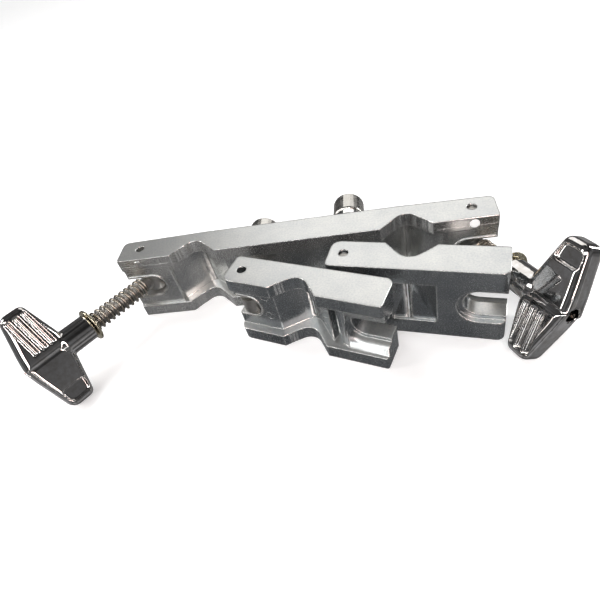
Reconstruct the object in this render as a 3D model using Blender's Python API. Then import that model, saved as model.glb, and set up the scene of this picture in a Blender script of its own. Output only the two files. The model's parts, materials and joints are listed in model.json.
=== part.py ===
"""Two-way multi-clamp: a long die-cast bar with two hinged jaws and two swing-bolt latches.

Frame: the bar lies along X and stands on its lower flange, +Z up, the jaws on the -Y side.
The origin is the middle of the bar's bottom face. Sizes are in millimetres times MM.
"""
import math

import bmesh
import bpy
from mathutils import Vector

MM = 0.001
GAP = 0.3 * MM
RING_SEGMENTS = 28

# Castings: the bar and the two jaws share one height and one flange section.
HEIGHT = 40.0 * MM
MID_Z = HEIGHT / 2
FLANGE = 6.9 * MM
WEB_RECESS = 4.5 * MM
BAR_LENGTH = 188.0 * MM
BAR_DEPTH = 16.5 * MM
BAR_END_TAPER = 1.3 * MM
BAR_TAPER_LENGTH = 45.0 * MM
BAR_END_RECESS = 1.5 * MM
NOTCH_FROM_END = 41.0 * MM
NOTCH_HALF_WIDTH = 12.0 * MM
NOTCH_RADIUS = 5.8 * MM
JAW_LENGTH = 77.3 * MM
JAW_DEPTH = 17.0 * MM
JAW_PIN_FROM_END = 6.8 * MM
JAW_PIN_DEPTH = 8.25 * MM
JAW_BLOCK_RECESS = 2.0 * MM
JAW_LIP_DEPTH = 4.6 * MM
JAW_LIP_HALF = 8.4 * MM
JAW_POCKET_DEPTH = 9.0 * MM
JAW_POCKET = (49.8 * MM, 54.2 * MM)
JAW_RIB_END = 56.2 * MM
BACK_POCKET_DEPTH = 5.5 * MM

# Slots for the bolts: a stadium in the XZ plane, open at the end of the casting.
SLOT_HALF = 6.2 * MM
JAW_SLOT_HALF = 6.7 * MM
SEAT_HALF = 9.3 * MM
SEAT_DEPTH = 2.5 * MM
BAR_SLOT_FROM_END = 13.2 * MM
JAW_HINGE_SLOT = 7.7 * MM
JAW_BOLT_SLOT = 66.0 * MM

# Pins and bolts.
PIN_RADIUS = 2.0 * MM
PIN_HOLE_RADIUS = 2.3 * MM
PIN_HOLE_FLOOR = 1.2 * MM
PIN_FOOT = 1.5 * MM
SWING_PIN_FROM_END = 10.8 * MM
SWING_PIN_Y = 0.35 * MM
EYE_BOLT_FROM_CENTRE = 23.75 * MM
BOLT_RADIUS = 3.8 * MM
BOLT_HOLE_RADIUS = 4.6 * MM
HINGE_EYE_RADIUS = 5.0 * MM
HINGE_EYE_THICKNESS = 8.0 * MM
EYE_BOLT_LENGTH = 57.0 * MM
SWING_EYE_RADIUS = 5.6 * MM
SWING_EYE_THICKNESS = 9.2 * MM
SWING_EYE_HOLE_RADIUS = 2.6 * MM
SWING_BOLT_LENGTH = 54.5 * MM

# Barrel nut and its thrust collar, behind the bar.
NUT_BORE_RADIUS = 4.15 * MM
BARREL_RADIUS = 8.5 * MM
BARREL_LENGTH = 14.7 * MM
COLLAR_LENGTH = 5.0 * MM

# Spring, washer and wing nut on the swing bolt.
SPRING_START = 8.6 * MM
SPRING_WIRE_RADIUS = 0.6 * MM
SPRING_MEAN_RADIUS = 4.75 * MM
SPRING_COILS = 11.5
WASHER_RADIUS = 8.7 * MM
WASHER_THICKNESS = 1.3 * MM
NECK_RADIUS = 6.8 * MM
NECK_LENGTH = 13.7 * MM
WING_HALF_SPAN = 26.9 * MM
WING_TIP_INNER = 18.7 * MM
WING_TIP_OUTER = 30.3 * MM
WING_END = 36.5 * MM
WING_SLOPE_START = 7.1 * MM
WING_FLAT_SIDE = 3.9 * MM
WING_FLAT_ROOT = 5.3 * MM
WING_PAD_SIDE = 5.9 * MM
WING_EDGE = 2.6 * MM
NUT_BORE_DEPTH = 31.0 * MM
NUT_END_HOLE_RADIUS = 2.9 * MM

# How each side stands at rest. Angles are in degrees; turn is about +Z.
SIDES = {
    "left": {
        "sign": -1, "jaw_turn": -21.0, "jaw_flip": True, "jaw_pin_y": -25.7 * MM,
        "collar_y": 11.75 * MM, "swing_turn": -123.5, "tilt": 4.2, "roll": 34.0, "washer": 42.0 * MM,
        "pin_top": 35.5 * MM,
    },
    "right": {
        "sign": 1, "jaw_turn": -13.8, "jaw_flip": False, "jaw_pin_y": -22.1 * MM,
        "collar_y": 24.25 * MM, "swing_turn": -65.0, "tilt": 5.1, "roll": -28.0, "washer": 28.7 * MM,
        "pin_top": 38.8 * MM,
    },
}


def clear_scene():
    for item in list(bpy.data.objects):
        bpy.data.objects.remove(item, do_unlink=True)


def make_collection(name):
    collection = bpy.data.collections.new(name)
    bpy.context.scene.collection.children.link(collection)
    return collection


def material(name, colour, roughness, metallic=1.0):
    made = bpy.data.materials.new(name)
    made.use_nodes = True
    shader = made.node_tree.nodes["Principled BSDF"]
    shader.inputs["Base Color"].default_value = (*colour, 1.0)
    shader.inputs["Roughness"].default_value = roughness
    shader.inputs["Metallic"].default_value = metallic
    return made


def place(item, parent=None, location=(0, 0, 0), rotation=(0, 0, 0)):
    item.location = location
    item.rotation_euler = rotation
    item.parent = parent


def empty(name, parent, location, rotation):
    made = bpy.data.objects.new(name, None)
    PARTS.objects.link(made)
    place(made, parent, location, rotation)
    return made


def rounded(corners, steps=6):
    """An outline from (x, y, radius) corners, each turned into an arc of that radius."""
    outline = []
    count = len(corners)
    for index, (x, y, radius) in enumerate(corners):
        here = Vector((x, y))
        if radius <= 0:
            outline.append(here)
            continue
        before = Vector(corners[index - 1][:2]) - here
        after = Vector(corners[(index + 1) % count][:2]) - here
        half = before.angle(after) / 2
        reach = radius / math.tan(half)
        centre = here + (before.normalized() + after.normalized()).normalized() * (radius / math.sin(half))
        start = here + before.normalized() * reach - centre
        sweep = start.angle_signed(here + after.normalized() * reach - centre)
        for step in range(steps + 1):
            angle = -sweep * step / steps
            turned = Vector((
                start.x * math.cos(angle) - start.y * math.sin(angle),
                start.x * math.sin(angle) + start.y * math.cos(angle),
            ))
            outline.append(centre + turned)
    return outline


def mesh_from_curve(curve_object):
    """The curve's evaluated shape as a mesh object, its caps welded to its walls."""
    bpy.context.view_layer.update()
    evaluated = curve_object.evaluated_get(bpy.context.evaluated_depsgraph_get())
    mesh = bpy.data.meshes.new_from_object(evaluated)
    cleaner = bmesh.new()
    cleaner.from_mesh(mesh)
    bmesh.ops.remove_doubles(cleaner, verts=cleaner.verts, dist=0.00001)
    bmesh.ops.recalc_face_normals(cleaner, faces=cleaner.faces)
    cleaner.to_mesh(mesh)
    cleaner.free()
    name = curve_object.name
    bpy.data.objects.remove(curve_object, do_unlink=True)
    made = bpy.data.objects.new(name, mesh)
    return made


def prism(name, outline, low, high, collection):
    """A flat outline in XY, filled and extruded from low to high along Z."""
    curve = bpy.data.curves.new(name, "CURVE")
    curve.dimensions = "2D"
    curve.fill_mode = "BOTH"
    curve.extrude = (high - low) / 2
    spline = curve.splines.new("POLY")
    spline.points.add(len(outline) - 1)
    for point, (x, y) in zip(spline.points, outline):
        point.co = (x, y, 0, 1)
    spline.use_cyclic_u = True
    holder = bpy.data.objects.new(name, curve)
    collection.objects.link(holder)
    made = mesh_from_curve(holder)
    for vertex in made.data.vertices:
        vertex.co.z += (low + high) / 2
    collection.objects.link(made)
    return made


def xz_prism(name, outline, low_y, high_y, collection):
    """A flat outline in XZ, filled and extruded from low_y to high_y."""
    made = prism(name, outline, low_y, high_y, collection)
    for vertex in made.data.vertices:
        x, y, z = vertex.co
        vertex.co = (x, z, y)
    made.data.flip_normals()
    return made


def inset(corners, distance):
    """The (x, y, radius) corners with every side moved inwards by distance and the arcs kept concentric."""
    count = len(corners)
    points = [Vector(corner[:2]) for corner in corners]
    area = sum(points[index - 1].cross(points[index]) for index in range(count))
    inwards = 1 if area > 0 else -1
    moved = []
    for index, (x, y, radius) in enumerate(corners):
        before = (points[index] - points[index - 1]).normalized()
        after = (points[(index + 1) % count] - points[index]).normalized()
        normals = Vector((-before.y - after.y, before.x + after.x)) * inwards
        shift = normals * (distance / (1 + before.dot(after)))
        moved.append((x + shift.x, y + shift.y, max(radius - distance, 0)))
    return moved


def pillow(name, corners, low_y, high_y, edge, collection, steps=5):
    """An XZ outline extruded from low_y to high_y with its edges rounded over to radius edge."""
    shape = bmesh.new()
    layers = []
    for angle in (0, 30, 60, 90):
        depth = edge * (1 - math.sin(math.radians(angle)))
        sideways = edge * (1 - math.cos(math.radians(angle)))
        layers.append((low_y + sideways, depth))
    layers += [(high_y - (y - low_y), depth) for y, depth in reversed(layers)]
    rings = []
    for y, depth in layers:
        outline = rounded(inset(corners, depth), steps)
        rings.append([shape.verts.new((x, y, z)) for x, z in outline])
    for lower, upper in zip(rings, rings[1:]):
        for index in range(len(lower)):
            shape.faces.new((lower[index - 1], lower[index], upper[index], upper[index - 1]))
    shape.faces.new(rings[0])
    shape.faces.new(rings[-1])
    bmesh.ops.recalc_face_normals(shape, faces=shape.faces)
    mesh = bpy.data.meshes.new(name)
    shape.to_mesh(mesh)
    shape.free()
    made = bpy.data.objects.new(name, mesh)
    collection.objects.link(made)
    return made


def cylinder(name, radius, start, end, collection, segments=32):
    """A cylinder between two points, from a primitive."""
    start = Vector(start)
    end = Vector(end)
    shape = bmesh.new()
    bmesh.ops.create_cone(
        shape, cap_ends=True, segments=segments, radius1=radius, radius2=radius, depth=(end - start).length,
    )
    turn = (end - start).to_track_quat("Z", "Y").to_matrix().to_4x4()
    bmesh.ops.transform(shape, matrix=turn, verts=shape.verts)
    bmesh.ops.translate(shape, vec=(start + end) / 2, verts=shape.verts)
    mesh = bpy.data.meshes.new(name)
    shape.to_mesh(mesh)
    shape.free()
    made = bpy.data.objects.new(name, mesh)
    collection.objects.link(made)
    return made


def turned(name, profile, collection, segments=RING_SEGMENTS):
    """A hollow body turned about X from a closed loop of (x, radius) stations."""
    mesh = bpy.data.meshes.new(name)
    shape = bmesh.new()
    points = [shape.verts.new((x, 0, radius)) for x, radius in profile]
    for index, point in enumerate(points):
        shape.edges.new((point, points[(index + 1) % len(points)]))
    bmesh.ops.spin(
        shape, geom=list(shape.verts) + list(shape.edges), cent=(0, 0, 0), axis=(1, 0, 0),
        angle=2 * math.pi, steps=segments, use_merge=True,
    )
    bmesh.ops.remove_doubles(shape, verts=shape.verts, dist=0.00001)
    bmesh.ops.recalc_face_normals(shape, faces=shape.faces)
    shape.to_mesh(mesh)
    shape.free()
    made = bpy.data.objects.new(name, mesh)
    collection.objects.link(made)
    return made


def boolean(target, tool, operation="DIFFERENCE"):
    step = target.modifiers.new(tool.name, "BOOLEAN")
    step.operation = operation
    step.solver = "EXACT"
    step.object = tool
    tool.hide_render = True
    tool.display_type = "WIRE"


def smooth(item, degrees=35):
    item.data.shade_smooth()
    item.data.set_sharp_from_angle(angle=math.radians(degrees))


def own_material(item, metal):
    """Give the item its own copy of a metal, named after it."""
    own = metal.copy()
    own.name = f"{item.name}_metal"
    item.data.materials.clear()
    item.data.materials.append(own)


def finish(item, metal):
    own_material(item, metal)
    smooth(item)


def stadium(end_x, centre_x, half, steps=16):
    """A slot outline in XZ: open past end_x, with a round end of radius half about centre_x."""
    side = 1 if end_x > centre_x else -1
    outline = [(end_x, MID_Z - half), (end_x, MID_Z + half)]
    for step in range(steps + 1):
        angle = math.pi / 2 + math.pi * step / steps
        outline.append((centre_x + side * half * math.cos(angle), MID_Z + half * math.sin(angle)))
    return outline


def notch_corners(centre_x, face_y, inward, half_width, radius):
    """The three corners of a V notch with 45 degree flanks; inward is +1 or -1 along Y."""
    return [
        (centre_x - half_width, face_y, 0),
        (centre_x, face_y + inward * half_width, radius),
        (centre_x + half_width, face_y, 0),
    ]


def make_bar(casting):
    half = BAR_LENGTH / 2
    front = -BAR_DEPTH / 2
    back = BAR_DEPTH / 2
    notch_x = half - NOTCH_FROM_END
    corners = [(-half, front, 0.6 * MM)]
    corners += notch_corners(-notch_x, front, 1, NOTCH_HALF_WIDTH, NOTCH_RADIUS)
    corners += notch_corners(notch_x, front, 1, NOTCH_HALF_WIDTH, NOTCH_RADIUS)
    corners += [
        (half, front, 0.6 * MM), (half, back - BAR_END_TAPER, 3.0 * MM),
        (half - BAR_TAPER_LENGTH, back, 0), (-half + BAR_TAPER_LENGTH, back, 0),
        (-half, back - BAR_END_TAPER, 3.0 * MM),
    ]
    bar = prism("clamp_bar", rounded(corners), 0, HEIGHT, PARTS)

    # The web between the flanges sits back from their edges and follows the notches at an even depth.
    outside = front - 10 * MM
    web = front + WEB_RECESS
    wide = NOTCH_HALF_WIDTH + WEB_RECESS * (math.sqrt(2) - 1)
    end_block = notch_x + wide + 2 * MM
    channel = [(-end_block, outside, 0), (-end_block, web, 2 * MM)]
    channel += notch_corners(-notch_x, web, 1, wide, NOTCH_RADIUS - 1 * MM)
    channel += notch_corners(notch_x, web, 1, wide, NOTCH_RADIUS - 1 * MM)
    channel += [(end_block, web, 2 * MM), (end_block, outside, 0)]
    boolean(bar, prism("cut_bar_channel", rounded(channel, 4), FLANGE, HEIGHT - FLANGE, CUTTERS))

    for side, sign in (("left", -1), ("right", 1)):
        end_x = sign * (half + 5 * MM)
        block = [
            (sign * (end_block - 1 * MM), outside), (end_x, outside),
            (end_x, front + BAR_END_RECESS), (sign * (end_block - 1 * MM), front + BAR_END_RECESS),
        ]
        boolean(bar, prism(f"cut_bar_end_{side}", block, FLANGE, HEIGHT - FLANGE, CUTTERS))
        slot = stadium(end_x, sign * (half - BAR_SLOT_FROM_END), SLOT_HALF)
        boolean(bar, xz_prism(f"cut_bar_slot_{side}", slot, -20 * MM, 20 * MM, CUTTERS))
        pin_x = sign * (half - SWING_PIN_FROM_END)
        boolean(bar, cylinder(
            f"cut_bar_pin_{side}", PIN_HOLE_RADIUS, (pin_x, SWING_PIN_Y, PIN_HOLE_FLOOR),
            (pin_x, SWING_PIN_Y, HEIGHT + 5 * MM), CUTTERS, 20,
        ))
        bolt_x = sign * EYE_BOLT_FROM_CENTRE
        boolean(bar, cylinder(
            f"cut_bar_bolt_{side}", BOLT_HOLE_RADIUS, (bolt_x, -20 * MM, MID_Z), (bolt_x, 20 * MM, MID_Z),
            CUTTERS, 28,
        ))

    # Shallow lightening pockets in the back, clear of the bolt holes and the thin notch walls.
    for name, low_x, high_x in (("middle", -13, 13), ("left", -41, -33), ("right", 33, 41)):
        pocket = rounded([
            (low_x * MM, 10 * MM, 2 * MM), (high_x * MM, 10 * MM, 2 * MM),
            (high_x * MM, 30 * MM, 2 * MM), (low_x * MM, 30 * MM, 2 * MM),
        ], 3)
        boolean(bar, xz_prism(f"cut_bar_back_{name}", pocket, back - BACK_POCKET_DEPTH, 20 * MM, CUTTERS))
    finish(bar, casting)


def make_jaw(side, pivot, casting):
    """One jaw about its hinge pin: X runs to the slot end, +Y is the clamping face, Z is centred."""
    inner = -JAW_PIN_FROM_END
    outer = inner + JAW_LENGTH
    face = JAW_PIN_DEPTH
    rear = face - JAW_DEPTH
    bar_notch = BAR_LENGTH / 2 - NOTCH_FROM_END
    notch_x = bar_notch - EYE_BOLT_FROM_CENTRE
    half_width = NOTCH_HALF_WIDTH - 0.4 * MM
    radius = NOTCH_RADIUS + 0.8 * MM
    corners = [(inner, rear, 2.0 * MM), (inner, face, 4.5 * MM)]
    corners += notch_corners(notch_x, face, -1, half_width, radius)
    corners += [(outer, face, 1.2 * MM), (outer, rear, 3.4 * MM)]
    jaw = prism(f"{side}_jaw", rounded(corners), -MID_Z, MID_Z, PARTS)
    place(jaw, pivot)

    def cut(tool):
        place(tool, pivot)
        boolean(jaw, tool)

    low = FLANGE - MID_Z
    outside = face + 10 * MM
    web = face - WEB_RECESS
    wide = half_width + WEB_RECESS * (math.sqrt(2) - 1)
    block = face - JAW_BLOCK_RECESS
    pocket_start = inner + JAW_POCKET[0]
    pocket_end = inner + JAW_POCKET[1]
    rib_end = inner + JAW_RIB_END
    channel = [(inner - 5 * MM, outside, 0), (inner - 5 * MM, web, 0)]
    channel += notch_corners(notch_x, web, -1, wide, radius - 1 * MM)
    channel += [
        (pocket_start, web, 0), (pocket_start + 1 * MM, face - JAW_POCKET_DEPTH, 0),
        (pocket_end, face - JAW_POCKET_DEPTH, 0), (pocket_end + 0.6 * MM, web + 1 * MM, 0),
        (rib_end, web + 1 * MM, 0), (rib_end + 2.5 * MM, block, 0), (outer + 5 * MM, block, 0),
        (outer + 5 * MM, outside, 0),
    ]
    cut(prism(f"cut_{side}_jaw_channel", rounded(channel, 4), low, -low, CUTTERS))

    def slot_cut(name, end_x, centre_x, half, near_y, far_y):
        outline = [(x, z - MID_Z) for x, z in stadium(end_x, centre_x, half)]
        cut(xz_prism(f"cut_{side}_jaw_{name}", outline, near_y, far_y, CUTTERS))

    slot_cut("hinge", inner - 5 * MM, inner + JAW_HINGE_SLOT, SLOT_HALF - 0.2 * MM, -20 * MM, 20 * MM)
    slot_cut("bolt", outer + 5 * MM, inner + JAW_BOLT_SLOT, JAW_SLOT_HALF, -20 * MM, 20 * MM)
    slot_cut("lip", outer + 5 * MM, inner + JAW_BOLT_SLOT, JAW_LIP_HALF, block - JAW_LIP_DEPTH, 20 * MM)
    slot_cut("seat", outer + 5 * MM, inner + JAW_BOLT_SLOT, SEAT_HALF, -20 * MM, rear + SEAT_DEPTH)
    panel = rounded([
        (inner + 28.5 * MM, -11.3 * MM, 0.8 * MM), (inner + 48.5 * MM, -11.3 * MM, 0.8 * MM),
        (inner + 48.5 * MM, 11.3 * MM, 0.8 * MM), (inner + 28.5 * MM, 11.3 * MM, 0.8 * MM),
    ], 2)
    cut(xz_prism(f"cut_{side}_jaw_panel", panel, -20 * MM, rear + 1.4 * MM, CUTTERS))
    cut(cylinder(f"cut_{side}_jaw_pin", PIN_HOLE_RADIUS, (0, 0, -30 * MM), (0, 0, 30 * MM), CUTTERS, 20))
    finish(jaw, casting)


def make_pin(name, parent, top, steel):
    """A straight pin on the parent's Z axis; the parent stands at mid height."""
    pin = cylinder(name, PIN_RADIUS, (0, 0, PIN_FOOT - MID_Z), (0, 0, top - MID_Z), PARTS, 20)
    place(pin, parent)
    finish(pin, steel)


def make_eye(name, eye_radius, eye_thickness, hole_radius, length, parent, steel):
    """A bolt along the parent's +X, its eye centred on the parent's Z axis."""
    half = eye_thickness / 2
    bolt = cylinder(name, eye_radius, (0, 0, -half), (0, 0, half), PARTS, 32)
    chamfer = 0.8 * MM
    shank_start = eye_radius * 0.6
    shank = turned(f"join_{name}", [
        (shank_start, 0.3 * MM), (shank_start, BOLT_RADIUS), (length - chamfer, BOLT_RADIUS),
        (length, BOLT_RADIUS - chamfer), (length, 0.3 * MM),
    ], CUTTERS, 28)
    core = cylinder(f"join_{name}_core", 0.6 * MM, (shank_start, 0, 0), (length, 0, 0), CUTTERS, 8)
    hole = cylinder(f"cut_{name}_hole", hole_radius, (0, 0, -half * 2), (0, 0, half * 2), CUTTERS, 20)
    for tool, operation in ((shank, "UNION"), (core, "UNION"), (hole, "DIFFERENCE")):
        place(tool, parent)
        boolean(bolt, tool, operation)
    place(bolt, parent)
    finish(bolt, steel)


def make_ring(name, outer_radius, bore_radius, start, length, chamfer, parent, metal):
    """A turned ring about the parent's X axis with both outer edges chamfered."""
    ring = turned(name, [
        (start, bore_radius), (start, outer_radius - chamfer), (start + chamfer, outer_radius),
        (start + length - chamfer, outer_radius), (start + length, outer_radius - chamfer),
        (start + length, bore_radius),
    ], PARTS)
    place(ring, parent)
    finish(ring, metal)


def make_spring(name, start, end, parent, steel):
    """A compression spring about the parent's X axis, with its wire just inside start and end."""
    points_per_coil = 9
    count = int(SPRING_COILS * points_per_coil)
    low = start + SPRING_WIRE_RADIUS
    high = end - SPRING_WIRE_RADIUS
    curve = bpy.data.curves.new(name, "CURVE")
    curve.dimensions = "3D"
    curve.bevel_depth = SPRING_WIRE_RADIUS
    curve.bevel_resolution = 1
    curve.use_fill_caps = True
    spline = curve.splines.new("POLY")
    spline.points.add(count)
    for index, point in enumerate(spline.points):
        angle = 2 * math.pi * index / points_per_coil
        x = low + (high - low) * index / count
        point.co = (x, SPRING_MEAN_RADIUS * math.cos(angle), SPRING_MEAN_RADIUS * math.sin(angle), 1)
    spring = bpy.data.objects.new(name, curve)
    PARTS.objects.link(spring)
    place(spring, parent)
    own_material(spring, steel)


def make_wing_nut(name, parent, start, roll, chrome):
    """A T wing nut about the parent's X axis: a neck, two offset wings with ribbed pads, a stepped bore."""
    holder = empty(f"{name}_spin", parent, (start, 0, 0), (math.radians(roll), 0, 0))
    start_radius = NUT_END_HOLE_RADIUS - 0.9 * MM
    nut = turned(name, [
        (0, start_radius), (0, NECK_RADIUS - 0.6 * MM), (0.6 * MM, NECK_RADIUS),
        (NECK_LENGTH + 1.5 * MM, NECK_RADIUS), (NECK_LENGTH + 5 * MM, WING_FLAT_ROOT - 0.3 * MM),
        (WING_END - 6 * MM, WING_FLAT_ROOT - 0.3 * MM), (WING_END - 6 * MM, start_radius),
    ], PARTS)
    place(nut, holder)

    def tool(made, operation):
        place(made, holder)
        boolean(nut, made, operation)

    # Each wing is one half of the T outline in XZ; the two are offset opposite ways along Y.
    tip = WING_HALF_SPAN
    outline_half = [
        (NECK_LENGTH, -1 * MM, 0), (NECK_LENGTH, NECK_RADIUS, 3 * MM), (WING_TIP_INNER, tip, 3.2 * MM),
        (WING_TIP_OUTER, tip, 4.2 * MM), (WING_END - 1.5 * MM, WING_SLOPE_START, 8 * MM),
        (WING_END, -1 * MM, 0),
    ]
    for side, sign in (("up", 1), ("down", -1)):
        corners = [(x, sign * z, radius) for x, z, radius in outline_half]
        low = -WING_FLAT_SIDE if sign > 0 else -WING_PAD_SIDE
        high = WING_PAD_SIDE if sign > 0 else WING_FLAT_SIDE
        wing = pillow(f"join_{name}_{side}", corners, low, high, WING_EDGE, CUTTERS)
        for vertex in wing.data.vertices:
            # The flat side leans outwards from the tip to the root, where it covers the bore.
            if vertex.co.y * sign < 0:
                vertex.co.y *= 1 + (WING_FLAT_ROOT / WING_FLAT_SIDE - 1) * (1 - abs(vertex.co.z) / tip)
        tool(wing, "UNION")
        # Three grooves along the span leave the ribs of the finger pad.
        pad_y = high if sign > 0 else low
        for index in range(3):
            x = WING_TIP_INNER + 0.2 * MM + index * 4.4 * MM
            groove = cylinder(
                f"cut_{name}_{side}_groove_{index}", 1.3 * MM,
                (x, pad_y, sign * 4 * MM), (x + 1.4 * MM, pad_y, sign * (tip - 3.5 * MM)), CUTTERS, 10,
            )
            tool(groove, "DIFFERENCE")
        # The scoop in the back of the wing, near the tip.
        flat_y = low if sign > 0 else high
        near_x = WING_TIP_INNER - 0.2 * MM
        far_x = WING_TIP_OUTER + 0.2 * MM
        scoop = rounded([
            (near_x, sign * 16.6 * MM, 1.5 * MM), (far_x, sign * 16.6 * MM, 1.5 * MM),
            (far_x - 0.6 * MM, sign * 24 * MM, 3.4 * MM), (near_x + 1 * MM, sign * 24 * MM, 2.6 * MM),
        ], 3)
        depth = 1.4 * MM
        near = flat_y - depth if flat_y > 0 else -20 * MM
        far = 20 * MM if flat_y > 0 else flat_y + depth
        tool(xz_prism(f"cut_{name}_{side}_scoop", scoop, near, far, CUTTERS), "DIFFERENCE")
    for label, radius, far_x in (
        ("bore", NUT_BORE_RADIUS, NUT_BORE_DEPTH), ("end", NUT_END_HOLE_RADIUS, WING_END + 9 * MM),
    ):
        tool(cylinder(
            f"cut_{name}_{label}", radius, (-5 * MM, 0, 0), (far_x, 0, 0), CUTTERS, RING_SEGMENTS,
        ), "DIFFERENCE")
    finish(nut, chrome)


def make_side(side, data, metals):
    sign = data["sign"]
    flip = math.pi if data["jaw_flip"] else 0.0
    eye_x = sign * EYE_BOLT_FROM_CENTRE
    pin_y = data["jaw_pin_y"]

    jaw_pivot = empty(
        f"{side}_jaw_hinge", None, (eye_x, pin_y, MID_Z), (flip, 0, math.radians(data["jaw_turn"])),
    )
    make_jaw(side, jaw_pivot, metals["casting"])
    jaw_pin_pivot = empty(f"{side}_jaw_pin_axis", None, (eye_x, pin_y, MID_Z), (0, 0, 0))
    make_pin(f"{side}_jaw_pin", jaw_pin_pivot, data["pin_top"], metals["steel"])

    eye_pivot = empty(f"{side}_eye_bolt_axis", None, (eye_x, pin_y, MID_Z), (0, 0, math.pi / 2))
    make_eye(
        f"{side}_eye_bolt", HINGE_EYE_RADIUS, HINGE_EYE_THICKNESS, PIN_HOLE_RADIUS, EYE_BOLT_LENGTH,
        eye_pivot, metals["steel"],
    )
    collar_start = data["collar_y"] - pin_y
    make_ring(
        f"{side}_nut_collar", BARREL_RADIUS, NUT_BORE_RADIUS, collar_start, COLLAR_LENGTH, 0.8 * MM,
        eye_pivot, metals["chrome"],
    )
    make_ring(
        f"{side}_barrel_nut", BARREL_RADIUS, NUT_BORE_RADIUS, collar_start + COLLAR_LENGTH + GAP,
        BARREL_LENGTH, 1.2 * MM, eye_pivot, metals["nut"],
    )

    swing_x = sign * (BAR_LENGTH / 2 - SWING_PIN_FROM_END)
    swing = empty(
        f"{side}_swing_axis", None, (swing_x, SWING_PIN_Y, MID_Z), (0, 0, math.radians(data["swing_turn"])),
    )
    make_pin(f"{side}_bar_pin", swing, data["pin_top"], metals["steel"])
    tilt = empty(f"{side}_tilt_axis", swing, (0, 0, 0), (0, -math.radians(data["tilt"]), 0))
    make_eye(
        f"{side}_swing_bolt", SWING_EYE_RADIUS, SWING_EYE_THICKNESS, SWING_EYE_HOLE_RADIUS, SWING_BOLT_LENGTH,
        tilt, metals["steel"],
    )
    washer = data["washer"]
    make_spring(f"{side}_spring", SPRING_START, washer - GAP, tilt, metals["spring"])
    make_ring(
        f"{side}_washer", WASHER_RADIUS, NUT_BORE_RADIUS, washer, WASHER_THICKNESS, 0.3 * MM, tilt,
        metals["brass"],
    )
    make_wing_nut(
        f"{side}_wing_nut", tilt, washer + WASHER_THICKNESS + GAP, data["roll"], metals["chrome"],
    )


clear_scene()
PARTS = make_collection("multi_clamp")
CUTTERS = make_collection("cutters")
METALS = {
    "casting": material("cast_alloy", (0.62, 0.63, 0.64), 0.38),
    "chrome": material("chrome_plate", (0.78, 0.76, 0.76), 0.08),
    "nut": material("satin_chrome", (0.70, 0.69, 0.67), 0.25),
    "steel": material("plain_steel", (0.50, 0.49, 0.47), 0.35),
    "spring": material("spring_steel", (0.55, 0.52, 0.47), 0.28),
    "brass": material("yellow_zinc", (0.72, 0.62, 0.36), 0.30),
}
make_bar(METALS["casting"])
for SIDE, DATA in SIDES.items():
    make_side(SIDE, DATA, METALS)
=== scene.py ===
"""Looks for the two-way multi-clamp: detailed castings, chrome wing nuts, threads, springs and a studio.

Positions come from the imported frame. Sizes are in millimetres times MM and mostly repeat the part's own.
"""

import json
import math

import bmesh
import bpy
from mathutils import Matrix, Vector


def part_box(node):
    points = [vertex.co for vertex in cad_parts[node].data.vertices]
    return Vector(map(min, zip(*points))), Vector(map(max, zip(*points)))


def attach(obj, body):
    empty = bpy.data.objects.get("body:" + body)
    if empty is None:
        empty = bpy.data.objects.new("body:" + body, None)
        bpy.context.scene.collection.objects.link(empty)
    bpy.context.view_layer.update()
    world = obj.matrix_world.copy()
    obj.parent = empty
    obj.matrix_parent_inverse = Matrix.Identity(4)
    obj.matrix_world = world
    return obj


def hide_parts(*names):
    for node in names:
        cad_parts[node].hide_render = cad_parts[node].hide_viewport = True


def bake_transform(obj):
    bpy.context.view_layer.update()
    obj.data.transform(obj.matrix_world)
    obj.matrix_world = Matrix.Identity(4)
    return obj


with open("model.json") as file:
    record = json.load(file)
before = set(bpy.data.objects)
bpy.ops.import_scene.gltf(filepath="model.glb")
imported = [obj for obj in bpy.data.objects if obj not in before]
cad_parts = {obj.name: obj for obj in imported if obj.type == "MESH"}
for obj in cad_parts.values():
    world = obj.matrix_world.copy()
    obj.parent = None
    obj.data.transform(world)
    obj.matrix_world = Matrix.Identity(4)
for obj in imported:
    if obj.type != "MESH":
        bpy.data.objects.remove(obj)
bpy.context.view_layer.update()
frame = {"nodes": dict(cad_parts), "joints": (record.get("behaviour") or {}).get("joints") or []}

MM = 0.001
SCENE = bpy.context.scene
JOINTS = {joint["name"]: joint for joint in frame["joints"]}
SIDES = {
    "left": {"sign": -1, "jaw_turn": -21.0, "jaw_flip": True},
    "right": {"sign": 1, "jaw_turn": -13.8, "jaw_flip": False},
}

# Castings.
BAR_LOW, BAR_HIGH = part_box("clamp_bar")
HEIGHT = BAR_HIGH.z
MID_Z = HEIGHT / 2
NOTCH_FROM_END = 41.0 * MM
NOTCH_HALF_WIDTH = 12.0 * MM
JAW_FACE = 8.25 * MM
JAW_NOTCH_X = 29.25 * MM
JAW_NOTCH_HALF_WIDTH = 11.6 * MM
JAW_WEB = JAW_FACE - 4.5 * MM
EDGE_RADIUS = 0.9 * MM
TICK_RADIUS = 0.36 * MM
TICK_DISTANCES = (3.6 * MM, 5.3 * MM, 7.0 * MM)
EJECTOR_RADIUS = 2.1 * MM
EJECTOR_RIDGE = 0.12 * MM
EJECTOR_MARKS = ((10.6, 4.6), (10.6, -7.6), (41.6, 0.0))
SPOT_RADIUS = 2.2 * MM
SPOT_RISE = 0.25 * MM
SPOT_BELOW_TOP = 3.3 * MM
# Painted light: emission strength that makes the right bar spot's white plug glow brighter, though it is no
# lamp.
SPOT_PAINTED_GLOW = 0.35
BAR_SLOT_FROM_END = 13.2 * MM
BAR_SLOT_HALF = 6.2 * MM
BAR_END_FACE = BAR_LOW.y + 1.5 * MM
JAW_SLOT_X = 0.9 * MM
JAW_SLOT_HALF = 6.0 * MM
JAW_END_X = -6.8 * MM
RIM_RADIUS = 0.7 * MM
SEAM_RADIUS = 0.14 * MM
SEAM_Z = HEIGHT - 4.5 * MM
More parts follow.
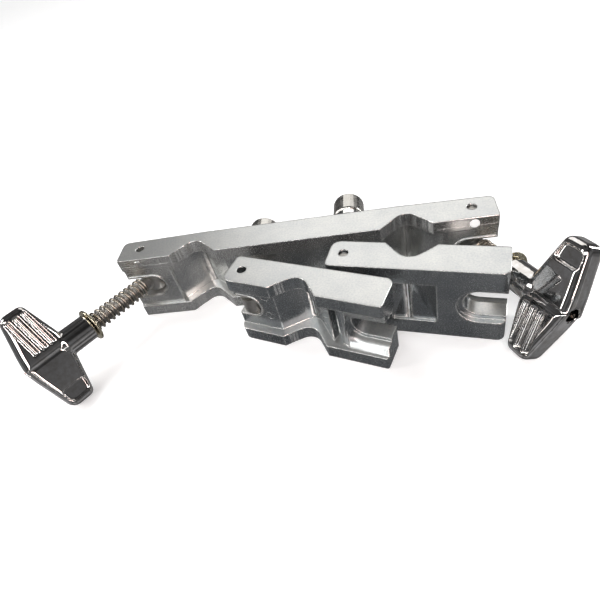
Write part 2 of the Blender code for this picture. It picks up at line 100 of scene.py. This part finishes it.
SEAM_INSETS = (1.0 * MM, 14.0 * MM, 27.5 * MM)

# Bolts and springs. The coils are slimmer than the part's, to clear the bar's slots when a bolt swings.
BOLT_RADIUS = 3.8 * MM
THREAD_CREST = 3.97 * MM
THREAD_ROOT = 3.35 * MM
THREAD_PITCH = 1.25 * MM
SWING_BOLT_LENGTH = 54.5 * MM
EYE_BOLT_LENGTH = 57.0 * MM
SPRING_START = 8.6 * MM
SPRING_WIRE_RADIUS = 0.55 * MM
SPRING_MEAN_RADIUS = 4.56 * MM
SPRING_COILS = 11.5
SWING_EYE_RADIUS = 5.6 * MM
SWING_EYE_THICKNESS = 9.2 * MM
SWING_HOLE_RADIUS = 2.6 * MM
EYE_RADIUS = 5.0 * MM
EYE_THICKNESS = 8.0 * MM
EYE_HOLE_RADIUS = 2.3 * MM
EYE_PLAIN_LENGTH = 9.0 * MM
THREAD_OVERLAP = 0.4 * MM
THREAD_CHAMFER = 0.9 * MM
GAP = 0.3 * MM
WELD_DISTANCE = 0.002 * MM

# Wing nuts.
SKIN_VOXEL = 0.32 * MM
SKIN_RELAX_STEPS = 14

# Studio. The camera stands before the clamp, a little to the right, and looks down by about 43 degrees.
CAMERA_PLACE = (0.0459, -0.19985, 0.1856)
CAMERA_FORWARD = (-0.1933, 0.7046, -0.6828)
CAMERA_ROLL_SINE = 0.2818
CAMERA_LENS = 30.45
CAMERA_SHIFT = 0.004
FLOOR_SIZE = 6.0
FLOOR_NEAR_GLOW = 0.38
BACKDROP_RADIUS = 5.0
BACKDROP_LEVEL = 0.93
LIGHT_TARGET = (0.0, -0.02, 0.02)
LIGHTS = (
    ("back_softbox", (0.15, 0.85, 0.80), (1.2, 0.7), 3.3, (1.0, 0.99, 0.97)),
    ("edge_light", (-0.15, -0.60, 0.65), (0.9, 0.26), 3.6, (1.0, 1.0, 1.0)),
    ("left_strip", (-0.75, -0.10, 0.40), (0.10, 0.7), 2.2, (1.0, 0.97, 0.95)),
    ("right_strip", (0.80, 0.30, 0.26), (0.12, 0.5), 2.4, (1.0, 1.0, 1.0)),
    ("front_strip", (0.28, -0.66, 0.42), (0.13, 0.5), 1.6, (1.0, 0.82, 0.77)),
    ("low_strip", (0.05, -0.80, 0.10), (0.9, 0.04), 0.35, (1.0, 1.0, 1.0)),
    ("key", (-0.35, 0.30, 0.85), (0.40, 0.40), 5.0, (1.0, 1.0, 1.0)),
)
WORLD_STOPS = ((0.0, 0.10), (0.16, 0.24), (0.35, 0.22), (0.50, 0.07), (0.62, 0.10), (0.78, 0.05), (1.0, 0.05))


def link(item):
    SCENE.collection.objects.link(item)
    return item


def object_from_bmesh(name, shape):
    mesh = bpy.data.meshes.new(name)
    shape.to_mesh(mesh)
    shape.free()
    return link(bpy.data.objects.new(name, mesh))


def bake_modifiers(item):
    """Turns the item's modifiers into its mesh."""
    bpy.context.view_layer.update()
    evaluated = item.evaluated_get(bpy.context.evaluated_depsgraph_get())
    mesh = bpy.data.meshes.new_from_object(evaluated)
    item.modifiers.clear()
    item.data = mesh


def smooth(item, degrees=35):
    item.data.shade_smooth()
    item.data.set_sharp_from_angle(angle=math.radians(degrees))


def copy_of_node(node, name):
    """A new object with the CAD node's shape, its faces welded and its flat faces joined."""
    shape = bmesh.new()
    shape.from_mesh(frame["nodes"][node].data)
    bmesh.ops.remove_doubles(shape, verts=shape.verts, dist=WELD_DISTANCE)
    bmesh.ops.dissolve_limit(
        shape, angle_limit=math.radians(0.6), verts=shape.verts, edges=shape.edges,
    )
    return object_from_bmesh(name, shape)


def cut(item, tools):
    """Takes the tools out of the item and removes them."""
    for tool in tools:
        step = item.modifiers.new(tool.name, "BOOLEAN")
        step.operation = "DIFFERENCE"
        step.solver = "EXACT"
        step.object = tool
    bake_modifiers(item)
    for tool in tools:
        bpy.data.objects.remove(tool, do_unlink=True)


def cylinder(name, radius, start, end, segments=12):
    start = Vector(start)
    end = Vector(end)
    shape = bmesh.new()
    bmesh.ops.create_cone(
        shape, cap_ends=True, segments=segments, radius1=radius, radius2=radius, depth=(end - start).length,
    )
    turn = (end - start).to_track_quat("Z", "Y").to_matrix().to_4x4()
    bmesh.ops.transform(shape, matrix=Matrix.Translation((start + end) / 2) @ turn, verts=shape.verts)
    return object_from_bmesh(name, shape)


def axis_frame(along, origin):
    """A frame with X along the given direction and Y level."""
    along = Vector(along).normalized()
    across = Vector((0, 0, 1)).cross(along).normalized()
    up = along.cross(across)
    matrix = Matrix((along, across, up)).transposed().to_4x4()
    matrix.translation = Vector(origin)
    return matrix


def swing_frame(side):
    return axis_frame(JOINTS[f"{side}_washer_slide"]["axis"], JOINTS[f"{side}_bolt_swing"]["pos_m"])


def jaw_frame(side):
    data = SIDES[side]
    turn = Matrix.Rotation(math.radians(data["jaw_turn"]), 4, "Z")
    flip = Matrix.Rotation(math.pi if data["jaw_flip"] else 0.0, 4, "X")
    return Matrix.Translation(Vector(JOINTS[f"{side}_jaw_hinge"]["pos_m"])) @ turn @ flip


def along_axis(node, matrix):
    """How far the CAD node reaches along the frame's X axis, as (start, end)."""
    inverse = matrix.inverted()
    places = [(inverse @ vertex.co).x for vertex in frame["nodes"][node].data.vertices]
    return min(places), max(places)


# Materials. Every pattern is in millimetres of object space, so it stays on its piece.


class Nodes:
    """A short way to build one node tree."""

    def __init__(self, name):
        self.material = bpy.data.materials.new(name)
        self.material.use_nodes = True
        self.tree = self.material.node_tree
        self.shader = self.tree.nodes["Principled BSDF"]
        coordinates = self.tree.nodes.new("ShaderNodeTexCoord")
        self.scaled = self.tree.nodes.new("ShaderNodeMapping")
        self.scaled.inputs["Scale"].default_value = (1000, 1000, 1000)
        self.link(coordinates.outputs["Object"], self.scaled.inputs["Vector"])

    def link(self, output, target):
        self.tree.links.new(output, target)

    def stretched(self, scale):
        node = self.tree.nodes.new("ShaderNodeMapping")
        node.inputs["Scale"].default_value = scale
        self.link(self.scaled.outputs["Vector"], node.inputs["Vector"])
        return node.outputs["Vector"]

    def noise(self, scale, detail=3.0, roughness=0.5, vector=None):
        node = self.tree.nodes.new("ShaderNodeTexNoise")
        node.inputs["Scale"].default_value = scale
        node.inputs["Detail"].default_value = detail
        node.inputs["Roughness"].default_value = roughness
        self.link(vector or self.scaled.outputs["Vector"], node.inputs["Vector"])
        return node.outputs["Fac"]

    def ramp(self, value, low, high, from_low=0.0, from_high=1.0):
        node = self.tree.nodes.new("ShaderNodeMapRange")
        node.inputs["From Min"].default_value = from_low
        node.inputs["From Max"].default_value = from_high
        node.inputs["To Min"].default_value = low
        node.inputs["To Max"].default_value = high
        self.link(value, node.inputs["Value"])
        return node.outputs["Result"]

    def colours(self, value, first, second, from_low=0.3, from_high=0.7):
        node = self.tree.nodes.new("ShaderNodeMix")
        node.data_type = "RGBA"
        self.link(self.ramp(value, 0.0, 1.0, from_low, from_high), node.inputs["Factor"])
        node.inputs["A"].default_value = (*first, 1)
        node.inputs["B"].default_value = (*second, 1)
        return node.outputs["Result"]

    def mix_colours(self, factor, first, second_colour):
        node = self.tree.nodes.new("ShaderNodeMix")
        node.data_type = "RGBA"
        self.link(factor, node.inputs["Factor"])
        self.link(first, node.inputs["A"])
        node.inputs["B"].default_value = (*second_colour, 1)
        return node.outputs["Result"]

    def maths(self, operation, first, second):
        node = self.tree.nodes.new("ShaderNodeMath")
        node.operation = operation
        for value, socket in ((first, node.inputs[0]), (second, node.inputs[1])):
            if isinstance(value, (int, float)):
                socket.default_value = value
            else:
                self.link(value, socket)
        return node.outputs["Value"]

    def bump(self, height, distance, strength=1.0, normal=None):
        node = self.tree.nodes.new("ShaderNodeBump")
        node.inputs["Distance"].default_value = distance
        node.inputs["Strength"].default_value = strength
        self.link(height, node.inputs["Height"])
        if normal:
            self.link(normal, node.inputs["Normal"])
        return node.outputs["Normal"]

    def edges(self, radius, from_low, from_high):
        """(a value that is 1 on the edges of the shape and 0 on its flats, the rounded normal)."""
        bevel = self.tree.nodes.new("ShaderNodeBevel")
        bevel.samples = 8
        bevel.inputs["Radius"].default_value = radius
        geometry = self.tree.nodes.new("ShaderNodeNewGeometry")
        dot = self.tree.nodes.new("ShaderNodeVectorMath")
        dot.operation = "DOT_PRODUCT"
        self.link(bevel.outputs["Normal"], dot.inputs[0])
        self.link(geometry.outputs["Normal"], dot.inputs[1])
        return self.ramp(dot.outputs["Value"], 1.0, 0.0, from_low, from_high), bevel.outputs["Normal"]

    def facing_up(self):
        """1 on faces square to Z and 0 on upright ones."""
        coordinates = self.tree.nodes.new("ShaderNodeTexCoord")
        parts = self.tree.nodes.new("ShaderNodeSeparateXYZ")
        self.link(coordinates.outputs["Normal"], parts.inputs["Vector"])
        size = self.maths("ABSOLUTE", parts.outputs["Z"], 0.0)
        return self.ramp(size, 0.0, 1.0, 0.6, 0.9)

    def finish(self, colour, roughness, normal=None, metallic=1.0):
        self.link(colour, self.shader.inputs["Base Color"])
        self.link(roughness, self.shader.inputs["Roughness"])
        if normal:
            self.link(normal, self.shader.inputs["Normal"])
        self.shader.inputs["Metallic"].default_value = metallic
        return self.material


def cast_alloy(name, side_low, side_high):
    """Die-cast alloy: smooth grey sides; faces square to Z (the tops) get a lighter colour, a painted
    highlight standing in for light from above, with fine grain; and worn bright edges.
    """
    nodes = Nodes(name)
    cloud = nodes.noise(0.06, 5.0, 0.62)
    grain = nodes.noise(2.6, 4.0, 0.7)
    brushed = nodes.noise(1.0, 4.0, 0.6, nodes.stretched((0.06, 1.6, 1.6)))
    top = nodes.facing_up()
    side_colour = nodes.colours(cloud, side_low, side_high, 0.35, 0.65)
    speckle = nodes.noise(1.1, 3.0, 0.75)
    mottle = nodes.maths("ADD", nodes.maths("MULTIPLY", speckle, 0.6), nodes.maths("MULTIPLY", cloud, 0.4))
    # Painted light: faces square to Z get this lighter colour in place of light falling on the tops; the
    # mottle in it is random tone.
    painted_light_top_colour = nodes.colours(mottle, (0.62, 0.64, 0.65), (0.88, 0.88, 0.85), 0.34, 0.66)
    # The blend paints the tops lighter than the sides, as painted light.
    blend = nodes.tree.nodes.new("ShaderNodeMix")
    blend.data_type = "RGBA"
    nodes.link(top, blend.inputs["Factor"])
    nodes.link(side_colour, blend.inputs["A"])
    nodes.link(painted_light_top_colour, blend.inputs["B"])
    edge, rounded = nodes.edges(EDGE_RADIUS, 0.90, 0.998)
    chips = nodes.ramp(nodes.noise(0.45, 4.0, 0.7), 0.40, 1.0, 0.36, 0.54)
    worn = nodes.maths("MULTIPLY", edge, chips)
    colour = nodes.mix_colours(worn, blend.outputs["Result"], (0.97, 0.97, 0.95))
    rough = nodes.maths("ADD", nodes.ramp(grain, 0.20, 0.30, 0.3, 0.7), nodes.ramp(top, 0.0, 0.10))
    rough = nodes.maths("SUBTRACT", rough, nodes.ramp(worn, 0.0, 0.08))
    height = nodes.maths("ADD", nodes.maths("ADD", grain, speckle), nodes.maths("MULTIPLY", brushed, 0.6))
    normal = nodes.bump(height, 0.04 * MM, 1.0, rounded)
    nodes.link(nodes.ramp(top, 0.12, 0.6), normal.node.inputs["Strength"])
    return nodes.finish(colour, rough, normal, 0.86)


def chrome_plate(name):
    """Bright plate over a polished casting: slightly wavy reflections and fine pits."""
    nodes = Nodes(name)
    wave = nodes.noise(0.16, 2.0, 0.5)
    pits = nodes.ramp(nodes.noise(2.0, 2.0, 0.6), 0.0, 1.0, 0.72, 0.78)
    haze = nodes.noise(0.35, 4.0, 0.6)
    colour = nodes.colours(haze, (0.62, 0.59, 0.56), (0.78, 0.77, 0.77))
    rough = nodes.maths("ADD", nodes.ramp(haze, 0.03, 0.08, 0.3, 0.7), nodes.maths("MULTIPLY", pits, 0.15))
    normal = nodes.bump(wave, 0.05 * MM, 0.5)
    normal = nodes.bump(pits, 0.01 * MM, 0.5, normal)
    return nodes.finish(colour, rough, normal)


def turned_metal(name, first, second, rough_low, rough_high, metallic=1.0):
    """A turned or drawn metal with fine lines and a cloudy tone."""
    nodes = Nodes(name)
    cloud = nodes.noise(0.22, 4.0, 0.6)
    lines = nodes.noise(1.0, 3.0, 0.6, nodes.stretched((0.15, 3.0, 3.0)))
    colour = nodes.colours(cloud, first, second)
    mixed = nodes.maths("ADD", nodes.maths("MULTIPLY", cloud, 0.5), nodes.maths("MULTIPLY", lines, 0.5))
    rough = nodes.ramp(mixed, rough_low, rough_high, 0.35, 0.65)
    return nodes.finish(colour, rough, nodes.bump(lines, 0.03 * MM, 0.5), metallic)


# Painted light: makes the material glow white, so the piece looks brightly lit though it is no lamp.
def painted_glow(material, strength):
    shader = material.node_tree.nodes["Principled BSDF"]
    shader.inputs["Emission Color"].default_value = (1, 1, 1, 1)
    shader.inputs["Emission Strength"].default_value = strength


# Pieces.


def flank_places(centre_x, face_y, inward, half_width):
    """Points along both 45 degree flanks of a notch, measured from its mouth."""
    places = []
    for side in (-1, 1):
        for distance in TICK_DISTANCES:
            step = distance / math.sqrt(2)
            places.append((centre_x + side * (half_width - step), face_y + inward * step))
    return places


def grip_ticks(label, places, matrix):
    """Upright grooves that cross both flanges."""
    tools = []
    for index, (x, y) in enumerate(places):
        tool = cylinder(f"tool_{label}_{index}", TICK_RADIUS, (x, y, -MID_Z - MM), (x, y, MID_Z + MM), 8)
        tool.data.transform(matrix)
        tools.append(tool)
    return tools


def add_piece(item, body, material):
    item.data.materials.clear()
    item.data.materials.append(material)
    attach(item, body)
    return item


def casting(node, body, places, matrix, material):
    """The casting with its grip ticks, in place of the CAD node; its material rounds the edges."""
    item = copy_of_node(node, f"{node}_casting")
    cut(item, grip_ticks(node, places, matrix))
    smooth(item, 25)
    add_piece(item, body, material)
    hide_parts(node)
    return item


def ring_mark(name, matrix, radius, thickness, body, material):
    """The thin raised ring that an ejector pin leaves, lying in the frame's XZ plane."""
    shape = bmesh.new()
    around = 40
    section = 8
    rings = []
    for step in range(around):
        angle = 2 * math.pi * step / around
        ring = []
        for part in range(section):
            turn = 2 * math.pi * part / section
            reach = radius + thickness * math.cos(turn)
            place = (reach * math.cos(angle), thickness * math.sin(turn), reach * math.sin(angle))
            ring.append(shape.verts.new(place))
        rings.append(ring)
    for index, ring in enumerate(rings):
        before = rings[index - 1]
        for part in range(section):
            shape.faces.new((before[part - 1], before[part], ring[part], ring[part - 1]))
    bmesh.ops.recalc_face_normals(shape, faces=shape.faces)
    item = object_from_bmesh(name, shape)
    item.data.transform(matrix)
    smooth(item, 60)
    return add_piece(item, body, material)


def pin_spot(side, material):
    """The domed spot on the bar's front edge before a swing pin."""
    centre = Vector(JOINTS[f"{side}_bolt_swing"]["pos_m"])
    place = Vector((centre.x, BAR_LOW.y - 0.02 * MM, HEIGHT - SPOT_BELOW_TOP))
    shape = bmesh.new()
    bmesh.ops.create_uvsphere(shape, u_segments=32, v_segments=16, radius=SPOT_RADIUS)
    for vertex in shape.verts:
        vertex.co.y *= SPOT_RISE / SPOT_RADIUS
    item = object_from_bmesh(f"{side}_bar_spot", shape)
    item.data.transform(Matrix.Translation(place))
    smooth(item, 60)
    return add_piece(item, "bar", material)


def bead(name, points, radius, matrix, body, material):
    """A raised rounded line on a casting, through the given points."""
    curve = bpy.data.curves.new(name, "CURVE")
    curve.dimensions = "3D"
    curve.bevel_depth = radius
    curve.bevel_resolution = 3
    curve.use_fill_caps = True
    spline = curve.splines.new("POLY")
    spline.points.add(len(points) - 1)
    for point, place in zip(spline.points, points):
        point.co = (*(matrix @ Vector(place)), 1)
    holder = link(bpy.data.objects.new(name, curve))
    bpy.context.view_layer.update()
    evaluated = holder.evaluated_get(bpy.context.evaluated_depsgraph_get())
    item = link(bpy.data.objects.new(name, bpy.data.meshes.new_from_object(evaluated)))
    bpy.data.objects.remove(holder, do_unlink=True)
    item.name = name
    smooth(item, 50)
    return add_piece(item, body, material)


def slot_rim(name, end_x, centre_x, half, face_y, matrix, body, material):
    """The lip round a bolt slot: two straight sides and a half circle, lying on the casting's face."""
    side = 1 if end_x > centre_x else -1
    points = [(end_x, face_y, half)]
    for step in range(17):
        angle = math.pi / 2 + math.pi * step / 16
        points.append((centre_x + side * half * math.cos(angle), face_y, half * math.sin(angle)))
    points.append((end_x, face_y, -half))
    return bead(name, points, RIM_RADIUS, matrix, body, material)


def wing_nut(side, material):
    """The plated nut: the CAD shape remeshed fine and relaxed, so that every edge is soft."""
    node = f"{side}_wing_nut"
    item = copy_of_node(node, f"{side}_plated_wing_nut")
    remesh = item.modifiers.new("skin", "REMESH")
    remesh.mode = "VOXEL"
    remesh.voxel_size = SKIN_VOXEL
    relax = item.modifiers.new("relax", "SMOOTH")
    relax.factor = 0.5
    relax.iterations = SKIN_RELAX_STEPS
    bake_modifiers(item)
    item.data.shade_smooth()
    add_piece(item, f"{side}_nut_body", material)
    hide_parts(node)
    return item


def threaded_shank(name, start, end):
    """A rod about X with a helical thread, closed at both ends, with a chamfered tip."""
    around = 28
    per_pitch = 8
    rows = int((end - start) / THREAD_PITCH * per_pitch)
    shape = bmesh.new()
    rings = []
    for row in range(rows + 1):
        x = start + (end - start) * row / rows
        ring = []
        for step in range(around):
            angle = 2 * math.pi * step / around
            phase = ((x / THREAD_PITCH) - step / around) % 1.0
            height = 1 - abs(2 * phase - 1)
            radius = THREAD_ROOT + (THREAD_CREST - THREAD_ROOT) * min(1.0, max(0.0, height * 1.35 - 0.15))
            radius = min(radius, BOLT_RADIUS - THREAD_CHAMFER + max(0.0, end - x))
            ring.append(shape.verts.new((x, radius * math.cos(angle), radius * math.sin(angle))))
        rings.append(ring)
    for before, after in zip(rings, rings[1:]):
        for step in range(around):
            shape.faces.new((before[step - 1], before[step], after[step], after[step - 1]))
    shape.faces.new(rings[0])
    shape.faces.new(rings[-1])
    bmesh.ops.recalc_face_normals(shape, faces=shape.faces)
    return object_from_bmesh(name, shape)


def bolt(side, kind, matrix, body, eye_radius, eye_thickness, hole_radius, length, plain, material):
    """An eye bolt: a rounded eye with a pin hole, a plain neck and a rolled thread."""
    node = f"{side}_{kind}"
    half = eye_thickness / 2
    eye = cylinder(f"{node}_forged", eye_radius, (0, 0, -half), (0, 0, half), 48)
    neck = cylinder(f"tool_{node}_neck", BOLT_RADIUS, (eye_radius * 0.5, 0, 0), (plain, 0, 0), 40)
    join = eye.modifiers.new("neck", "BOOLEAN")
    join.operation = "UNION"
    join.solver = "EXACT"
    join.object = neck
    bake_modifiers(eye)
    bpy.data.objects.remove(neck, do_unlink=True)
    cut(eye, [cylinder(f"tool_{node}_hole", hole_radius, (0, 0, -half * 2), (0, 0, half * 2), 32)])
    edge = eye.modifiers.new("edges", "BEVEL")
    edge.width = 0.5 * MM
    edge.segments = 3
    edge.limit_method = "ANGLE"
    edge.angle_limit = math.radians(40)
    bake_modifiers(eye)
    smooth(eye, 40)
    eye.data.transform(matrix)
    add_piece(eye, body, material)
    shank = threaded_shank(f"{node}_thread", plain - THREAD_OVERLAP, length)
    smooth(shank, 60)
    shank.data.transform(matrix)
    add_piece(shank, body, material)
    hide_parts(node)
    return eye, shank


def spring(side, material):
    """A compression spring with closed ends, swept along a helix."""
    node = f"{side}_spring"
    matrix = swing_frame(side)
    washer_start = along_axis(f"{side}_washer", matrix)[0]
    low = SPRING_START + SPRING_WIRE_RADIUS
    high = washer_start - GAP - SPRING_WIRE_RADIUS
    per_coil = 28
    section = 10
    count = int(SPRING_COILS * per_coil)
    shape = bmesh.new()
    rings = []
    for index in range(count + 1):
        angle = 2 * math.pi * index / per_coil
        share = index / count
        closed = 1.0 / SPRING_COILS
        if share < closed:
            spread = 0.45 * closed * (share / closed) ** 2
        elif share > 1 - closed:
            spread = 1 - 0.45 * closed * ((1 - share) / closed) ** 2
        else:
            inner = (share - closed) / (1 - 2 * closed)
            spread = 0.45 * closed + (1 - 0.9 * closed) * inner
        x = low + (high - low) * spread
        ring = []
        for part in range(section):
            turn = 2 * math.pi * part / section
            reach = SPRING_MEAN_RADIUS + SPRING_WIRE_RADIUS * math.cos(turn)
            across = SPRING_WIRE_RADIUS * math.sin(turn)
            ring.append(shape.verts.new((x + across, reach * math.cos(angle), reach * math.sin(angle))))
        rings.append(ring)
    for before, after in zip(rings, rings[1:]):
        for part in range(section):
            shape.faces.new((before[part - 1], before[part], after[part], after[part - 1]))
    shape.faces.new(rings[0])
    shape.faces.new(rings[-1])
    bmesh.ops.recalc_face_normals(shape, faces=shape.faces)
    item = object_from_bmesh(f"{side}_spring_coil", shape)
    item.data.transform(matrix)
    smooth(item, 60)
    item.data.materials.append(material)
    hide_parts(node)
    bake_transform(item)
    return item


def repaint(node, material, bevel=0.0, segments=3):
    """Gives a CAD node its finish, with rounded edges where it has sharp ones."""
    item = frame["nodes"][node]
    item.data.materials.clear()
    item.data.materials.append(material)
    weld = item.modifiers.new("weld", "WELD")
    weld.merge_threshold = WELD_DISTANCE
    if bevel:
        edge = item.modifiers.new("edges", "BEVEL")
        edge.width = bevel
        edge.segments = segments
        edge.limit_method = "ANGLE"
        edge.angle_limit = math.radians(30)


CAST = cast_alloy("cast_alloy", (0.38, 0.39, 0.39), (0.62, 0.62, 0.60))
DARK_CAST = cast_alloy("dark_cast_alloy", (0.17, 0.185, 0.195), (0.27, 0.285, 0.29))
CHROME = chrome_plate("chrome_plate")
SATIN = turned_metal("satin_chrome", (0.62, 0.60, 0.56), (0.78, 0.76, 0.72), 0.20, 0.36)
STEEL = turned_metal("plain_steel", (0.36, 0.35, 0.33), (0.55, 0.53, 0.50), 0.25, 0.42)
SPRING_STEEL = turned_metal("spring_steel", (0.42, 0.37, 0.30), (0.66, 0.60, 0.52), 0.16, 0.30)
YELLOW_ZINC = turned_metal("yellow_zinc", (0.60, 0.53, 0.36), (0.80, 0.75, 0.60), 0.16, 0.30)
WHITE_PLUG = turned_metal("white_plug", (0.90, 0.90, 0.88), (0.97, 0.97, 0.96), 0.25, 0.40, metallic=0.0)
# Painted light: the white plug glows so that it looks brighter.
painted_glow(WHITE_PLUG, SPOT_PAINTED_GLOW)
POLISHED = turned_metal("polished_steel", (0.84, 0.84, 0.82), (0.93, 0.93, 0.92), 0.08, 0.16)


def make_castings():
    notch_x = BAR_HIGH.x - NOTCH_FROM_END
    places = []
    for sign in (-1, 1):
        places += flank_places(sign * notch_x, BAR_LOW.y, 1, NOTCH_HALF_WIDTH)
    casting("clamp_bar", "bar", places, Matrix.Translation((0, 0, MID_Z)), CAST)
    for side in SIDES:
        places = flank_places(JAW_NOTCH_X, JAW_FACE, -1, JAW_NOTCH_HALF_WIDTH)
        casting(f"{side}_jaw", f"{side}_jaw_body", places, jaw_frame(side), DARK_CAST)
        for index, (x, z) in enumerate(EJECTOR_MARKS):
            place = Matrix.Translation((x * MM, JAW_WEB, z * MM))
            ring_mark(
                f"{side}_jaw_ejector_{index}", jaw_frame(side) @ place, EJECTOR_RADIUS, EJECTOR_RIDGE,
                f"{side}_jaw_body", CAST,
            )
        slot_rim(
            f"{side}_jaw_slot_rim", JAW_END_X + 1.2 * MM, JAW_SLOT_X, JAW_SLOT_HALF + 0.5 * MM, JAW_WEB,
            jaw_frame(side), f"{side}_jaw_body", CAST,
        )
        sign = SIDES[side]["sign"]
        middle = Matrix.Translation((0, 0, MID_Z))
        slot_rim(
            f"{side}_bar_slot_rim", sign * (BAR_HIGH.x - 0.8 * MM), sign * (BAR_HIGH.x - BAR_SLOT_FROM_END),
            BAR_SLOT_HALF + 1.0 * MM, BAR_END_FACE, middle, "bar", CAST,
        )
        seam = [(sign * (BAR_HIGH.x - inset), BAR_LOW.y, SEAM_Z) for inset in SEAM_INSETS]
        bead(f"{side}_bar_seam", seam, SEAM_RADIUS, Matrix.Identity(4), "bar", CAST)
        # The right spot's white plug material carries a painted glow.
        pin_spot(side, WHITE_PLUG if side == "right" else CAST)


def make_side(side):
    swing = swing_frame(side)
    hinge = axis_frame((0, 1, 0), JOINTS[f"{side}_jaw_hinge"]["pos_m"])
    bolt(
        side, "swing_bolt", swing, f"{side}_bolt_body", SWING_EYE_RADIUS, SWING_EYE_THICKNESS,
        SWING_HOLE_RADIUS, SWING_BOLT_LENGTH, SPRING_START, STEEL,
    )
    bolt(
        side, "eye_bolt", hinge, f"{side}_eye_bolt_body", EYE_RADIUS, EYE_THICKNESS,
        EYE_HOLE_RADIUS, EYE_BOLT_LENGTH, EYE_PLAIN_LENGTH, STEEL,
    )
    spring(side, SPRING_STEEL)
    wing_nut(side, CHROME)
    repaint(f"{side}_washer", YELLOW_ZINC, 0.25 * MM)
    repaint(f"{side}_barrel_nut", SATIN, 0.5 * MM)
    repaint(f"{side}_nut_collar", POLISHED, 0.3 * MM)
    repaint(f"{side}_bar_pin", STEEL, 0.25 * MM, 2)
    repaint(f"{side}_jaw_pin", STEEL, 0.25 * MM, 2)


# Stage, light and camera.


def floor_material():
    nodes = Nodes("studio_floor")
    tone = nodes.noise(0.004, 2.0, 0.5)
    colour = nodes.colours(tone, (0.90, 0.90, 0.90), (0.93, 0.93, 0.93))
    nodes.finish(colour, nodes.ramp(tone, 0.7, 0.8), metallic=0.0)
    nodes.shader.inputs["Emission Color"].default_value = (1, 1, 1, 1)
    reach = nodes.tree.nodes.new("ShaderNodeVectorMath")
    reach.operation = "LENGTH"
    nodes.link(nodes.scaled.outputs["Vector"], reach.inputs[0])
    glow_level = nodes.ramp(reach.outputs["Value"], FLOOR_NEAR_GLOW, BACKDROP_LEVEL, 400, 2000)
    nodes.link(glow_level, nodes.shader.inputs["Emission Strength"])
    return nodes.material


def make_stage():
    shape = bmesh.new()
    bmesh.ops.create_grid(shape, x_segments=1, y_segments=1, size=FLOOR_SIZE)
    floor = object_from_bmesh("studio_floor", shape)
    floor.location.z = -0.05 * MM
    floor.data.materials.append(floor_material())
    floor.visible_glossy = False
    shape = bmesh.new()
    bmesh.ops.create_uvsphere(shape, u_segments=48, v_segments=24, radius=BACKDROP_RADIUS)
    dome = object_from_bmesh("studio_backdrop", shape)
    backdrop = Nodes("studio_backdrop")
    backdrop.shader.inputs["Base Color"].default_value = (0, 0, 0, 1)
    backdrop.shader.inputs["Emission Color"].default_value = (*[BACKDROP_LEVEL] * 3, 1)
    backdrop.shader.inputs["Emission Strength"].default_value = 1.0
    dome.data.materials.append(backdrop.material)
    for ray in ("glossy", "diffuse", "shadow", "transmission", "volume_scatter"):
        setattr(dome, f"visible_{ray}", False)


def area_light(name, place, aim, size, power, colour):
    data = bpy.data.lights.new(name, "AREA")
    data.shape = "RECTANGLE"
    data.size = size[0]
    data.size_y = size[1]
    data.energy = power
    data.color = colour
    light = link(bpy.data.objects.new(name, data))
    light.location = place
    light.rotation_euler = (Vector(aim) - Vector(place)).to_track_quat("-Z", "Y").to_euler()
    return light


def make_world():
    """The studio that the metal mirrors: grey from below, dark at the horizon and overhead, in patches."""
    world = bpy.data.worlds.new("studio")
    SCENE.world = world
    world.use_nodes = True
    tree = world.node_tree
    background = tree.nodes["Background"]
    coordinates = tree.nodes.new("ShaderNodeTexCoord")
    parts = tree.nodes.new("ShaderNodeSeparateXYZ")
    tree.links.new(coordinates.outputs["Generated"], parts.inputs["Vector"])
    spread = tree.nodes.new("ShaderNodeMapRange")
    spread.inputs["From Min"].default_value = -1.0
    tree.links.new(parts.outputs["Z"], spread.inputs["Value"])
    ramp = tree.nodes.new("ShaderNodeValToRGB")
    while len(ramp.color_ramp.elements) < len(WORLD_STOPS):
        ramp.color_ramp.elements.new(0.5)
    for element, (place, level) in zip(ramp.color_ramp.elements, WORLD_STOPS):
        element.position = place
        element.color = (level, level, level * 1.02, 1)
    tree.links.new(spread.outputs["Result"], ramp.inputs["Fac"])
    patches = tree.nodes.new("ShaderNodeTexNoise")
    patches.inputs["Scale"].default_value = 2.2
    patches.inputs["Detail"].default_value = 2.0
    tree.links.new(coordinates.outputs["Generated"], patches.inputs["Vector"])
    contrast = tree.nodes.new("ShaderNodeMapRange")
    contrast.inputs["From Min"].default_value = 0.35
    contrast.inputs["From Max"].default_value = 0.65
    contrast.inputs["To Min"].default_value = 0.35
    contrast.inputs["To Max"].default_value = 1.7
    tree.links.new(patches.outputs["Fac"], contrast.inputs["Value"])
    tree.links.new(ramp.outputs["Color"], background.inputs["Color"])
    tree.links.new(contrast.outputs["Result"], background.inputs["Strength"])


def make_lights():
    """The key lights the floor and the dull surfaces only; the plate mirrors a dark ceiling."""
    for name, place, size, power, colour in LIGHTS:
        light = area_light(name, place, LIGHT_TARGET, size, power, colour)
        light.visible_glossy = name != "key"


def make_camera():
    data = bpy.data.cameras.new("camera")
    data.sensor_width = 36
    data.lens = CAMERA_LENS
    data.shift_x = CAMERA_SHIFT
    data.clip_start = 0.01
    camera = link(bpy.data.objects.new("camera", data))
    forward = Vector(CAMERA_FORWARD).normalized()
    level = forward.cross(Vector((0, 0, 1))).normalized()
    up = level.cross(forward)
    tilt = math.asin(CAMERA_ROLL_SINE)
    right = level * math.cos(tilt) - up * math.sin(tilt)
    over = level * math.sin(tilt) + up * math.cos(tilt)
    matrix = Matrix((right, over, -forward)).transposed().to_4x4()
    matrix.translation = CAMERA_PLACE
    camera.matrix_world = matrix
    SCENE.camera = camera


SCENE.view_settings.view_transform = "Standard"
make_castings()
for SIDE in SIDES:
    make_side(SIDE)
make_stage()
make_world()
make_lights()
make_camera()
